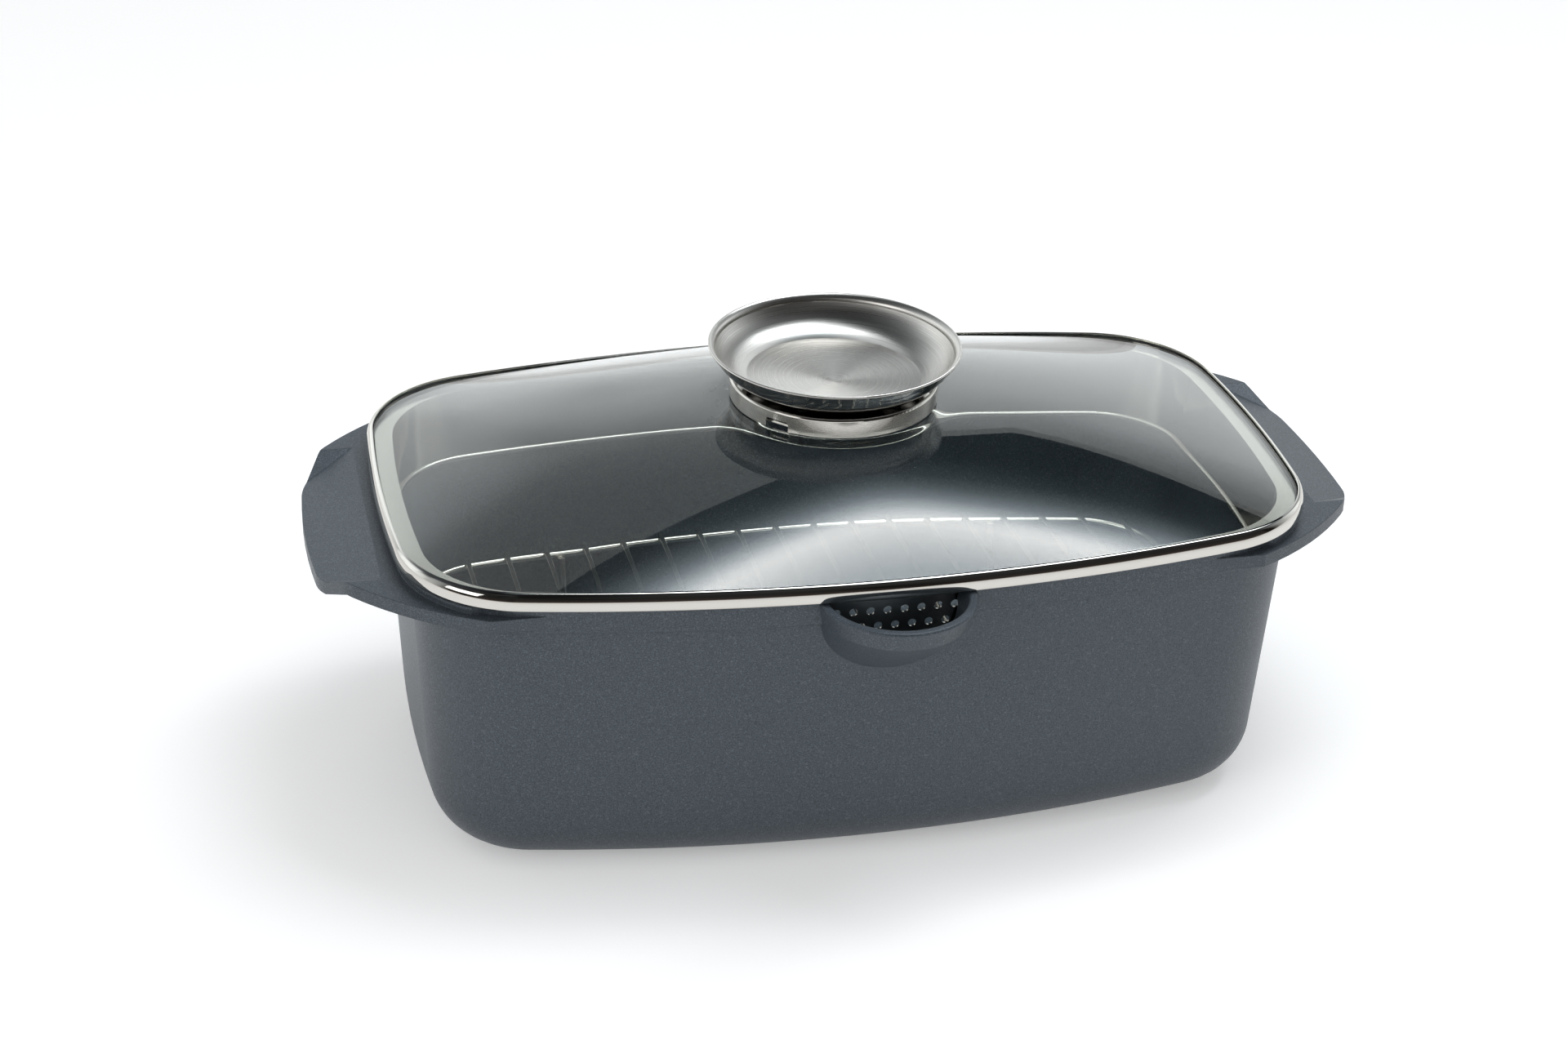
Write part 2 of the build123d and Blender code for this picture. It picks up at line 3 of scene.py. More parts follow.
import bpy
import numpy as np
from mathutils import Matrix


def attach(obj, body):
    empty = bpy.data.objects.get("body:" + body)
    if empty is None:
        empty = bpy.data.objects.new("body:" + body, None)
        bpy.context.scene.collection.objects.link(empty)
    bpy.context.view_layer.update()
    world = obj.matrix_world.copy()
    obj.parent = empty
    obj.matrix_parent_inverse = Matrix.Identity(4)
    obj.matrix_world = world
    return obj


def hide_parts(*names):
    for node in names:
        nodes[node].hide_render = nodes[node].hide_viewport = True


# Roasting pan with a glass lid and a rack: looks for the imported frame, in metres


def stage(text):
    print("pan:", text)


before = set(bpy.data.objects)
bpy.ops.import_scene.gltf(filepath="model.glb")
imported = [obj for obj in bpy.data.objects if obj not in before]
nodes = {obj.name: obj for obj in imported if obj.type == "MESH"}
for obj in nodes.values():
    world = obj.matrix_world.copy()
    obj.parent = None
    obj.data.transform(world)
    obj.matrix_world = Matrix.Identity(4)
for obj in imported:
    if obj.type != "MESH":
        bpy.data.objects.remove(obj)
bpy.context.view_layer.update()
scene = bpy.context.scene
scene.view_settings.view_transform = "Standard"
stage("frame loaded")


def linearColour(hexCode):
    # sRGB hex to linear: below 0.04045 divide by 12.92, above it the 2.4 power curve
    parts = np.array([int(hexCode[i : i + 2], 16) for i in (1, 3, 5)]) / 255
    line = np.where(parts <= 0.04045, parts / 12.92, ((parts + 0.055) / 1.055) ** 2.4)
    return (*line.tolist(), 1.0)


def addNode(tree, kind, settings=None, links=None):
    # One node: settings are its properties, input values or a ramp's stops, links feed its inputs
    node = tree.nodes.new(kind)
    for key, value in (settings or {}).items():
        if key == "stops":
            elements = node.color_ramp.elements
            while len(elements) < len(value):
                elements.new(0.5)
            for element, (place, colour) in zip(elements, value):
                element.position = place
                element.color = linearColour(colour)
        elif isinstance(key, str) and hasattr(node, key):
            setattr(node, key, value)
        else:
            node.inputs[key].default_value = value
    for key, source in (links or {}).items():
        tree.links.new(source, node.inputs[key])
    return node


def newMaterial(name):
    # A material without nodes, and its node tree
    material = bpy.data.materials.new(name)
    material.use_nodes = True
    material.node_tree.nodes.clear()
    return material, material.node_tree


def newObject(name, data):
    # An object of this data, in the scene
    added = bpy.data.objects.new(name, data)
    scene.collection.objects.link(added)
    return added


def newMesh(name, points, faces):
    # A mesh of these points and faces
    mesh = bpy.data.meshes.new(name)
    mesh.from_pydata(points, [], faces)
    return mesh


def flatSheet(left, right, low, high):
    # Points and face of a rectangle in the plane z = 0 that faces up
    points = [(left, low, 0), (right, low, 0), (right, high, 0), (left, high, 0)]
    return points, [(0, 1, 2, 3)]


def seenRays(tree):
    # 1 for a ray from the camera, off metal or through glass, else 0: the highest of three flags
    rays = addNode(tree, "ShaderNodeLightPath")
    seen = rays.outputs["Is Camera Ray"]
    for rayKind in ("Is Glossy Ray", "Is Transmission Ray"):
        links = {0: seen, 1: rays.outputs[rayKind]}
        seen = addNode(tree, "ShaderNodeMath", {"operation": "MAXIMUM"}, links).outputs[0]
    return seen


# Camera: a long lens from the front left, about 28 degrees above the pan
cameraSet = {
    "place": (-0.27956, -1.05560, 0.67851),
    "yaw": 0.2420,
    "pitch": 0.4871,
    "roll": 0.0339,
    "lens": 67.10,
    "sensor": 36.0,
}


def placed(across, over, back, place):
    # A matrix with these three unit axes as its columns and its origin at place
    matrix = np.eye(4)
    matrix[:3, 0], matrix[:3, 1], matrix[:3, 2] = across, over, back
    matrix[:3, 3] = place
    return Matrix(matrix.tolist())


def cameraAxes(yaw, pitch, roll):
    # Forward from yaw and pitch, right level with the floor, both turned about forward by roll
    level = math.cos(pitch)
    forward = np.array([math.sin(yaw) * level, math.cos(yaw) * level, -math.sin(pitch)])
    right = np.array([math.cos(yaw), -math.sin(yaw), 0.0])
    up = np.cross(right, forward)
    across = math.cos(roll) * right + math.sin(roll) * up
    over = -math.sin(roll) * right + math.cos(roll) * up
    return across, over, -forward


camera = bpy.data.cameras.new("camera")
camera.lens = cameraSet["lens"]
camera.sensor_width = cameraSet["sensor"]
cameraObject = newObject("camera", camera)
cameraTurn = cameraAxes(cameraSet["yaw"], cameraSet["pitch"], cameraSet["roll"])
cameraObject.matrix_world = placed(*cameraTurn, cameraSet["place"])
scene.camera = cameraObject
stage("camera placed")


def aimed(place, aim):
    # A matrix whose -Z axis points from place to aim
    back = np.array(place, float) - np.array(aim, float)
    back /= np.linalg.norm(back)
    right = np.cross((0.0, 0.0, 1.0), back)
    right /= np.linalg.norm(right)
    return placed(right, np.cross(back, right), back, place)


# Lamp: a wide weak one at the front left
lampSet = {
    "place": (-2.1, -1.0, 1.1),
    "aim": (0.0, 0.0, 0.05),
    "size": (1.2, 0.9),
    "power": 8.5,
    "colour": "#FFFFFF",
}
lamp = bpy.data.lights.new("front", "AREA")
lamp.shape = "RECTANGLE"
lamp.size, lamp.size_y = lampSet["size"]
lamp.energy = lampSet["power"]
lamp.color = linearColour(lampSet["colour"])[:3]
newObject("front", lamp).matrix_world = aimed(lampSet["place"], lampSet["aim"])

# Softbox: a big glowing sheet of woven nylon above and behind the right side, its light fading
# towards its edges as such boxes' light does. The glass shows it as one pale patch
softboxSet = {
    "place": (0.46, 0.38, 1.62),
    "aim": (0.05, 0.05, 0.1),
    "left": -0.62,
    "right": 0.55,
    "low": -1.05,
    "high": 0.62,
    "slant": -0.55,  # how far the fading across leans for each metre along
    "strength": 9.0,
    "across": [
        (0.0, "#B0B5B9"),
        (0.2, "#B8BEC3"),
        (0.4, "#FFFFFF"),
        (0.45, "#D0D6DA"),
        (0.52, "#8A9298"),
        (0.6, "#585F63"),
        (0.72, "#2A2E30"),
        (1.0, "#000000"),
    ],
    "along": [
        (0.0, "#000000"),
        (0.15, "#3C4043"),
        (0.3, "#A8ACAF"),
        (0.42, "#FFFFFF"),
        (1.0, "#FFFFFF"),
    ],
}
left, right, low, high = (softboxSet[key] for key in ("left", "right", "low", "high"))
points, faces = flatSheet(left, right, low, high)
softboxMesh = newMesh("softbox", points, [faces[0][::-1]])
softbox = newObject("softbox", softboxMesh)
softbox.matrix_world = aimed(softboxSet["place"], softboxSet["aim"])
softbox.visible_camera = False
softbox.visible_shadow = False
nylonDiffuser, tree = newMaterial("wovenNylonDiffuser")
place = addNode(tree, "ShaderNodeTexCoord").outputs["Object"]
parts = addNode(tree, "ShaderNodeSeparateXYZ", links={0: place})
slant = addNode(
    tree,
    "ShaderNodeMath",
    {"operation": "MULTIPLY_ADD", 1: softboxSet["slant"]},
    {0: parts.outputs[1], 2: parts.outputs[0]},
)
fades = []
spans = {"across": (left, right, slant.outputs[0]), "along": (low, high, parts.outputs[1])}
for key, (start, end, source) in spans.items():
    span = {"From Min": start, "From Max": end}
    share = addNode(tree, "ShaderNodeMapRange", span, {"Value": source}).outputs[0]
    fade = addNode(tree, "ShaderNodeValToRGB", {"stops": softboxSet[key]}, {"Fac": share})
    fades.append(fade.outputs[0])
sheet = addNode(
    tree,
    "ShaderNodeMix",
    {"data_type": "RGBA", "blend_type": "MULTIPLY", 0: 1.0},
    {6: fades[0], 7: fades[1]},
)
glowing = addNode(
    tree,
    "ShaderNodeEmission",
    {"Strength": softboxSet["strength"]},
    {"Color": sheet.outputs[2]},
)
addNode(tree, "ShaderNodeOutputMaterial", links={"Surface": glowing.outputs[0]})
softboxMesh.materials.append(nylonDiffuser)

# Room: even light on the pan, and plain white to the camera and in metal and glass
roomSet = {"colour": "#FFFFFF", "strength": 0.58, "seen": "#FFFFFF", "seenStrength": 1.0}
world = bpy.data.worlds.new("room")
scene.world = world
world.use_nodes = True
room = world.node_tree
room.nodes.clear()
roomPlain = addNode(
    room,
    "ShaderNodeBackground",
    {"Color": linearColour(roomSet["colour"]), "Strength": roomSet["strength"]},
)
roomWhite = addNode(
    room,
    "ShaderNodeBackground",
    {"Color": linearColour(roomSet["seen"]), "Strength": roomSet["seenStrength"]},
)
roomMix = addNode(
    room,
    "ShaderNodeMixShader",
    links={0: seenRays(room), 1: roomPlain.outputs[0], 2: roomWhite.outputs[0]},
)
addNode(room, "ShaderNodeOutputWorld", links={"Surface": roomMix.outputs[0]})
stage("lights set")

# Floor: a plain pale table of matt paper, white where the camera sees it lit, and it keeps the
# pan's shadow
floorSet = {
    "half": 9.0,
    "colour": "#F4F4F4",
    "glowColour": "#FFFFFF",
    "glow": 0.3,
    "roughness": 0.7,
}
floorHalf = floorSet["half"]
floorMesh = newMesh("floor", *flatSheet(-floorHalf, floorHalf, -floorHalf, floorHalf))
floor = newObject("floor", floorMesh)
mattPaper, tree = newMaterial("rolledMattPaper")
glow = addNode(
    tree,
    "ShaderNodeMath",
    {"operation": "MULTIPLY", 1: floorSet["glow"]},
    {0: seenRays(tree)},
)
paper = addNode(
    tree,
    "ShaderNodeBsdfPrincipled",
    {
        "Base Color": linearColour(floorSet["colour"]),
        "Roughness": floorSet["roughness"],
        "Specular IOR Level": 0.0,
        "Emission Color": linearColour(floorSet["glowColour"]),
    },
    {"Emission Strength": glow.outputs[0]},
)
addNode(tree, "ShaderNodeOutputMaterial", links={"Surface": paper.outputs[0]})
floorMesh.materials.append(mattPaper)

# Molton cloth hung round the table, as photographers do for shiny things, made as a glowing dome
# that only reflections show and that lights nothing. Its colours are painted reflection: pale low
# down behind the pan, dark above and on the camera's side, with painted shade of soft upright folds
clothSet = {
    "radius": 3.0,
    "foot": 3.0,
    "top": 90.0,
    "rows": 14,
    "columns": 64,
    "strength": 1.5,
    "lowest": 0.16,  # height where both rows of shades begin
    "front": -0.8,  # the shades before the pan rule up to here, those behind it from back on
    "back": 1.2,
    "behind": [
        (0.0, "#F8FDFF"),
        (0.36, "#F8FDFF"),
        (0.46, "#E0E6E9"),
        (0.56, "#B4BABE"),
        (0.64, "#6E7275"),
        (0.72, "#42464A"),
        (1.0, "#1E2124"),
    ],
    "before": [
        (0.0, "#6A625C"),
        (0.08, "#2E2A28"),
        (0.4, "#222222"),
        (0.8, "#2E2F30"),
        (1.0, "#1E2124"),
    ],
    # Painted shade of folds: a stretched noise darkens the glow in upright stripes
    "foldStretch": (1.0, 1.0, 0.12),
    "foldScale": 1.2,
    "paintedFoldShades": [(0.34, "#8E8E8E"), (0.46, "#E6E6E6"), (0.56, "#FFFFFF")],
}


def ringFaces(rows, columns):
    # Quads between each row of points and the next, closed round the columns
    row, column = np.meshgrid(np.arange(rows), np.arange(columns), indexing="ij")
    following = (column + 1) % columns
    here, above = row * columns, (row + 1) * columns
    corners = [here + column, above + column, above + following, here + following]
    return np.stack(corners, axis=-1).reshape(-1, 4)


def domeShell(radius, foot, top, rows, columns):
    # Part of a sphere: the height is the radius times the sine of the rise, from foot to top
    # degrees, and the distance from the axis is the radius times its cosine, all round
    rise = np.radians(np.linspace(foot, top, rows + 1))[:, None]
    turn = np.linspace(0, 2 * np.pi, columns, endpoint=False)[None, :]
    x, y, z = np.cos(rise) * np.cos(turn), np.cos(rise) * np.sin(turn), np.sin(rise) + 0 * turn
    points = radius * np.stack([x, y, z], axis=-1)
    return points.reshape(-1, 3), ringFaces(rows, columns)


points, faces = domeShell(*(clothSet[key] for key in ("radius", "foot", "top", "rows", "columns")))
clothMesh = newMesh("darkCloth", points.tolist(), faces.tolist())
cloth = newObject("darkCloth", clothMesh)
cloth.visible_camera = False
cloth.visible_diffuse = False
cloth.visible_transmission = False
cloth.visible_shadow = False
paintedReflectionCloth, tree = newMaterial("paintedReflectionClothGlow")
place = addNode(tree, "ShaderNodeTexCoord").outputs["Object"]
parts = addNode(tree, "ShaderNodeSeparateXYZ", links={0: place})
share = addNode(
    tree,
    "ShaderNodeMapRange",
    {"From Min": clothSet["lowest"], "From Max": clothSet["radius"]},
    {"Value": parts.outputs[2]},
).outputs[0]
behind = addNode(tree, "ShaderNodeValToRGB", {"stops": clothSet["behind"]}, {"Fac": share})
before = addNode(tree, "ShaderNodeValToRGB", {"stops": clothSet["before"]}, {"Fac": share})
depth = addNode(
    tree,
    "ShaderNodeMapRange",
    {"From Min": clothSet["front"], "From Max": clothSet["back"]},
    {"Value": parts.outputs[1]},
)
shade = addNode(
    tree,
    "ShaderNodeMix",
    {"data_type": "RGBA"},
    {0: depth.outputs[0], 6: before.outputs[0], 7: behind.outputs[0]},
)
flat = addNode(tree, "ShaderNodeMapping", {"Scale": clothSet["foldStretch"]}, {"Vector": place})
folds = addNode(
    tree,
    "ShaderNodeTexNoise",
    {"Scale": clothSet["foldScale"], "Detail": 1.0},
    {"Vector": flat.outputs[0]},
)
paintedFoldShade = addNode(
    tree,
    "ShaderNodeValToRGB",
    {"stops": clothSet["paintedFoldShades"]},
    {"Fac": folds.outputs[0]},
)
folded = addNode(
    tree,
    "ShaderNodeMix",
    {"data_type": "RGBA", "blend_type": "MULTIPLY", 0: 1.0},
    {6: shade.outputs[2], 7: paintedFoldShade.outputs[0]},
)
# Painted reflection: the cloth glows with these colours, though it is no lamp
lit = addNode(
    tree,
    "ShaderNodeEmission",
    {"Strength": clothSet["strength"]},
    {"Color": folded.outputs[2]},
)
addNode(tree, "ShaderNodeOutputMaterial", links={"Surface": lit.outputs[0]})
clothMesh.materials.append(paintedReflectionCloth)
stage("stage built")


# The noise seldom leaves this range, so roughness is spread over it
noiseRange = {"From Min": 0.3, "From Max": 0.7}

# Coated cast aluminium: non-stick sprayed over a gravity casting, a dark blue-grey satin with a
# fine even metal grain. The pigment is some 0.05 mm, far too fine to show, so it is drawn as 0.5 mm
# grains with a few brighter flecks
castSet = {
    "shades": [(0.3, "#323A41"), (0.5, "#424A52"), (0.72, "#59636C")],
    "fleck": "#7C858E",
    "metal": 0.15,
    "ior": 1.5,
    "roughness": 0.44,
    "roughnessSpread": 0.05,
    "grainSize": 0.0005,
    "grainBump": 0.2,
    "grainDepth": 0.0001,
    "fleckSize": 0.00055,
    "fleckFrom": 0.9,
    "fleckStrength": 0.3,
    "waveSize": 0.006,
    "waveBump": 0.15,
    "waveDepth": 0.0002,
    "edge": 0.0007,
    "edgeSamples": 6,
}


def coatedCast():
    # Grain colours the coat and its gloss, flecks lie over it, and the casting's waves and round
    # edges bend its normal
    material, tree = newMaterial("coatedCastAluminium")
    point = addNode(tree, "ShaderNodeTexCoord").outputs["Object"]
    grains = addNode(
        tree,
        "ShaderNodeTexNoise",
        {"Scale": 1 / castSet["grainSize"], "Detail": 2.0, "Roughness": 0.7},
        {"Vector": point},
    )
    base = addNode(
        tree,
        "ShaderNodeValToRGB",
        {"stops": castSet["shades"]},
        {"Fac": grains.outputs[0]},
    )
    cells = addNode(
        tree,
        "ShaderNodeTexVoronoi",
        {"Scale": 1 / castSet["fleckSize"]},
        {"Vector": point},
    )
    cellValue = addNode(tree, "ShaderNodeSeparateColor", links={0: cells.outputs["Color"]})
    flecks = addNode(
        tree,
        "ShaderNodeMapRange",
        {"From Min": castSet["fleckFrom"], "From Max": 1.0, "To Max": castSet["fleckStrength"]},
        {"Value": cellValue.outputs[0]},
    )
    colour = addNode(
        tree,
        "ShaderNodeMix",
        {"data_type": "RGBA", 7: linearColour(castSet["fleck"])},
        {0: flecks.outputs[0], 6: base.outputs[0]},
    )
    matt, bright = (castSet["roughness"] + way * castSet["roughnessSpread"] for way in (1, -1))
    rough = addNode(
        tree,
        "ShaderNodeMapRange",
        {**noiseRange, "To Min": matt, "To Max": bright},
        {"Value": grains.outputs[0]},
    )
    waves = addNode(
        tree,
        "ShaderNodeTexNoise",
        {"Scale": 1 / castSet["waveSize"], "Detail": 1.0},
        {"Vector": point},
    )
    edge = addNode(
        tree,
        "ShaderNodeBevel",
        {"samples": castSet["edgeSamples"], "Radius": castSet["edge"]},
    )
    broad = addNode(
        tree,
        "ShaderNodeBump",
        {"Strength": castSet["waveBump"], "Distance": castSet["waveDepth"]},
        {"Height": waves.outputs[0], "Normal": edge.outputs[0]},
    )
    bump = addNode(
        tree,
        "ShaderNodeBump",
        {"Strength": castSet["grainBump"], "Distance": castSet["grainDepth"]},
        {"Height": grains.outputs[0], "Normal": broad.outputs[0]},
    )
    shader = addNode(
        tree,
        "ShaderNodeBsdfPrincipled",
        {"Metallic": castSet["metal"], "IOR": castSet["ior"]},
        {"Base Color": colour.outputs[2], "Roughness": rough.outputs[0], "Normal": bump.outputs[0]},
    )
    addNode(tree, "ShaderNodeOutputMaterial", links={"Surface": shader.outputs[0]})
    return material


# Stainless steel, by how its surface was made. Work lines are some 0.02 mm apart, too fine to show,
# and drawn 0.4 to 1.2 mm apart
steelSet = {
    # Band: buffed, mirrors the room almost sharply
    "polished": {
        "colour": "#CFCCC6",
        "roughness": 0.06,
        "anisotropic": 0.0,
        "line": 0.0012,
        "bump": 0.0,
    },
    # Vent ring, stud, washer and nut: turned bright, highlights spread a little across the lines
    "turned": {
        "colour": "#CAC7C1",
        "roughness": 0.1,
        "anisotropic": 0.2,
        "line": 0.0006,
        "bump": 0.0,
    },
    # Strainer flange and skirt: rubbed along the strip, a soft grey sheen
    "satin": {
        "colour": "#BDBBB6",
        "roughness": 0.16,
        "anisotropic": 0.0,
        "line": 0.0008,
        "stretch": (0.02, 0.02, 1.0),
        "bump": 0.0,
    },
    # Dish: brushed in rings inside, so light fans out from the middle, and polished outside, with a
    # darker colour there that is painted shade for the dark reflection under the dish
    "spun": {
        "colour": "#D8D5D0",
        # painted shade: the darker colour of the faces that look down
        "outside": "#8E8D8B",
        "roughness": 0.3,
        "outsideRoughness": 0.09,
        "turnover": 0.05,
        "anisotropic": 0.85,
        "line": 0.0004,
        "bump": 0.05,
    },
    # Hub: nearly black, painted shade so that the ring's notch over it looks dark
    "notchShadeBlack": {
        "colour": "#1C1C1D",
        "roughness": 0.35,
        "anisotropic": 0.0,
        "line": 0.0006,
        "bump": 0.02,
    },
    # Rack: drawn through a die, each wire with a bright line along it
    "drawn": {
        "colour": "#D2CFC8",
        "roughness": 0.18,
        "anisotropic": 0.0,
        "line": 0.0006,
        "bump": 0.03,
    },
}
lineSet = {"depth": 0.00005, "brighter": 0.8, "duller": 1.25}


def steel(way, lathe=False):
    # Noise, stretched along the working direction if there is one, gives fine lines in gloss and
    # height. On a lathe it depends on the distance from the axis and on z alone, so they are rings
    values = steelSet[way]
    material, tree = newMaterial(way + "StainlessSteel")
    point = addNode(tree, "ShaderNodeTexCoord").outputs["Object"]
    if lathe:
        x, y, z = addNode(tree, "ShaderNodeSeparateXYZ", links={0: point}).outputs
        flat = addNode(tree, "ShaderNodeCombineXYZ", links={0: x, 1: y}).outputs[0]
        reach = addNode(tree, "ShaderNodeVectorMath", {"operation": "LENGTH"}, {0: flat})
        source = addNode(tree, "ShaderNodeCombineXYZ", links={0: reach.outputs["Value"], 2: z})
    else:
        stretch = values.get("stretch", (1.0, 1.0, 1.0))
        source = addNode(tree, "ShaderNodeMapping", {"Scale": stretch}, {"Vector": point})
    lines = addNode(
        tree,
        "ShaderNodeTexNoise",
        {"Scale": 1 / values["line"], "Detail": 3.0, "Roughness": 0.6},
        {"Vector": source.outputs[0]},
    )
    brightest, dullest = (values["roughness"] * lineSet[key] for key in ("brighter", "duller"))
    rough = addNode(
        tree,
        "ShaderNodeMapRange",
        {**noiseRange, "To Min": brightest, "To Max": dullest},
        {"Value": lines.outputs[0]},
    )
    bump = addNode(
        tree,
        "ShaderNodeBump",
        {"Strength": values["bump"], "Distance": lineSet["depth"]},
        {"Height": lines.outputs[0]},
    )
    colour = linearColour(values["colour"])
    shader = addNode(
        tree,
        "ShaderNodeBsdfPrincipled",
        {
            "Base Color": colour,
            "Metallic": 1.0,
            "Anisotropic": values["anisotropic"],
        },
        {"Roughness": rough.outputs[0], "Normal": bump.outputs[0]},
    )
    if lathe:
        turn = addNode(tree, "ShaderNodeTangent", {"direction_type": "RADIAL", "axis": "Z"})
        tree.links.new(turn.outputs[0], shader.inputs["Tangent"])
    if "outside" in values:
        # Faces that look down are the dish's outside: smoother, not brushed, and a darker colour
        # that is painted shade
        normal = addNode(tree, "ShaderNodeTexCoord").outputs["Normal"]
        facing = addNode(tree, "ShaderNodeSeparateXYZ", links={0: normal})
        inside = addNode(
            tree,
            "ShaderNodeMapRange",
            {"From Min": -values["turnover"], "From Max": values["turnover"]},
            {"Value": facing.outputs[2]},
        )
        sided = addNode(
            tree,
            "ShaderNodeMix",
            {2: values["outsideRoughness"]},
            {0: inside.outputs[0], 3: rough.outputs[0]},
        )
        brushed = addNode(
            tree,
            "ShaderNodeMath",
            {"operation": "MULTIPLY", 1: values["anisotropic"]},
            {0: inside.outputs[0]},
        )
        # Painted shade: the darker outside colour on faces that look down
        outside = addNode(
            tree,
            "ShaderNodeMix",
            {"data_type": "RGBA", 6: linearColour(values["outside"]), 7: colour},
            {0: inside.outputs[0]},
        )
        tree.links.new(outside.outputs[2], shader.inputs["Base Color"])
        tree.links.new(sided.outputs[0], shader.inputs["Roughness"])
        tree.links.new(brushed.outputs[0], shader.inputs["Anisotropic"])
    addNode(tree, "ShaderNodeOutputMaterial", links={"Surface": shader.outputs[0]})
    return material


# Tempered soda-lime glass, pressed and polished: clear, faintly green, with sharp reflections
glassSet = {"colour": "#F6FAF8", "shadow": "#EAEEED", "roughness": 0.0, "ior": 1.5}


def temperedGlass():
    # Glass to every ray but shadow rays, which pass it with a little loss
    material, tree = newMaterial("temperedSodaLimeGlass")
    rays = addNode(tree, "ShaderNodeLightPath")
    glass = addNode(
        tree,
        "ShaderNodeBsdfPrincipled",
        {
            "Base Color": linearColour(glassSet["colour"]),
            "Roughness": glassSet["roughness"],
            "IOR": glassSet["ior"],
            "Transmission Weight": 1.0,
        },
    )
    clear = addNode(tree, "ShaderNodeBsdfTransparent", {"Color": linearColour(glassSet["shadow"])})
    shader = addNode(
        tree,
        "ShaderNodeMixShader",
        links={0: rays.outputs["Is Shadow Ray"], 1: glass.outputs[0], 2: clear.outputs[0]},
    )
    addNode(tree, "ShaderNodeOutputMaterial", links={"Surface": shader.outputs[0]})
    return material


# Moulded silicone rubber: dull black with a faint skin, its pores drawn 1 mm wide to show
siliconeSet = {
    "colour": "#1E1E1D",
    "roughness": 0.5,
    "ior": 1.41,
    "pore": 0.001,
    "bump": 0.1,
    "depth": 0.0001,
}


def mouldedSilicone():
    # One dark colour with a shallow noise bump
    material, tree = newMaterial("mouldedSilicone")
    point = addNode(tree, "ShaderNodeTexCoord").outputs["Object"]
    skin = addNode(
        tree,
        "ShaderNodeTexNoise",
        {"Scale": 1 / siliconeSet["pore"], "Detail": 2.0},
        {"Vector": point},
    )
    bump = addNode(
        tree,
        "ShaderNodeBump",
        {"Strength": siliconeSet["bump"], "Distance": siliconeSet["depth"]},
        {"Height": skin.outputs[0]},
    )
    shader = addNode(
        tree,
        "ShaderNodeBsdfPrincipled",
        {
            "Base Color": linearColour(siliconeSet["colour"]),
            "Roughness": siliconeSet["roughness"],
            "IOR": siliconeSet["ior"],
        },
        {"Normal": bump.outputs[0]},
    )
    addNode(tree, "ShaderNodeOutputMaterial", links={"Surface": shader.outputs[0]})
    return material


# Finish of the first of these words in a node's name; stud, washer and nut as the vent ring
rackWire = steel("drawn")
finishes = {
    "pan_body": coatedCast(),
    "lid_band": steel("polished"),
    "strainer_ring": steel("satin"),
    "lid_glass": temperedGlass(),
    "drip_dish": steel("spun", lathe=True),
    "vent_ring": steel("turned", lathe=True),
    # The hub's near-black colour is painted shade for the vent ring's notch
    "knob_hub": steel("notchShadeBlack", lathe=True),
    "rack": rackWire,
    "wire": rackWire,
    "seal": mouldedSilicone(),
}
for name, node in nodes.items():
    word = next((word for word in finishes if word in name), "vent_ring")
    node.data.materials.clear()
    node.data.materials.append(finishes[word])
stage("finishes given")


# Lid outline: four arcs with round corners, as the CAD nodes have it
outlineSet = {
    "halfLength": 0.190,
    "halfWidth": 0.1149,
    "longRadius": 0.740,
    "shortRadius": 0.640,
    "cornerRadius": 0.054,
}


def outlineReach(turn, inset):
    # Distance from the middle to the outline moved in by inset, in each direction: to the far side
    # of the long side's circle, of the short side's, or of the corner's between the two directions
    # where it touches them
    radii = [outlineSet[key] for key in ("longRadius", "shortRadius", "cornerRadius")]
    longRadius, shortRadius, cornerRadius = radii
    longCentre = outlineSet["halfWidth"] - longRadius
    shortCentre = outlineSet["halfLength"] - shortRadius
    span = math.hypot(shortCentre, longCentre)
    longReach, shortReach = longRadius - cornerRadius, shortRadius - cornerRadius
    along = (span**2 + longReach**2 - shortReach**2) / (2 * span)
    across = math.sqrt(longReach**2 - along**2)
    unit = np.array([shortCentre, -longCentre]) / span
    corner = np.array([0.0, longCentre]) + unit * along + np.array([unit[1], -unit[0]]) * across
    folded = np.arctan2(np.abs(np.sin(turn)), np.abs(np.cos(turn)))
    reaches = []
    centres = ((0.0, longCentre), (shortCentre, 0.0), corner)
    for centre, radius in zip(centres, radii):
        middle = centre[0] * np.cos(folded) + centre[1] * np.sin(folded)
        offset = centre[0] ** 2 + centre[1] ** 2 - middle**2
        reaches.append(middle + np.sqrt(np.maximum((radius - inset) ** 2 - offset, 0.0)))
    longShare, shortShare = (longRadius - inset) / longReach, (shortRadius - inset) / shortReach
    beside, beyond = corner
    longTouch = math.atan2(longCentre + (beyond - longCentre) * longShare, beside * longShare)
    shortTouch = math.atan2(beyond * shortShare, shortCentre + (beside - shortCentre) * shortShare)
    ends = np.where(folded <= shortTouch, reaches[1], reaches[2])
    return np.where(folded >= longTouch, reaches[0], ends)


# Glass pane: the CAD node's dome on a fine even grid, so that it bends light without facets. Its
# steam hole is left out, as the vent ring's plate lies over it
paneSet = {
    "inset": 0.0021,
    "thickness": 0.004,
    "edgeTop": 0.1335,
    "seat": 0.1615,
    "peak": 0.1634,
    "flatRadius": 0.045,
    "soften": 0.001,
    "hole": 0.0045,
    "rings": 90,
    "columns": 288,
    "smoothing": 7,
}


def domeHeight(x, y, radius, reach, values):
    # Falls from peak to edgeTop with the square of the share of the way out, measured on an oval
    # near the middle and on the outline near the edge
    outer = (radius / reach) ** 2
    halfLength = outlineSet["halfLength"] - values["inset"]
    halfWidth = outlineSet["halfWidth"] - values["inset"]
    oval = (x / halfLength) ** 2 + (y / halfWidth) ** 2
    blend = oval + (outer - oval) * outer
    return values["edgeTop"] + (values["peak"] - values["edgeTop"]) * (1 - blend)


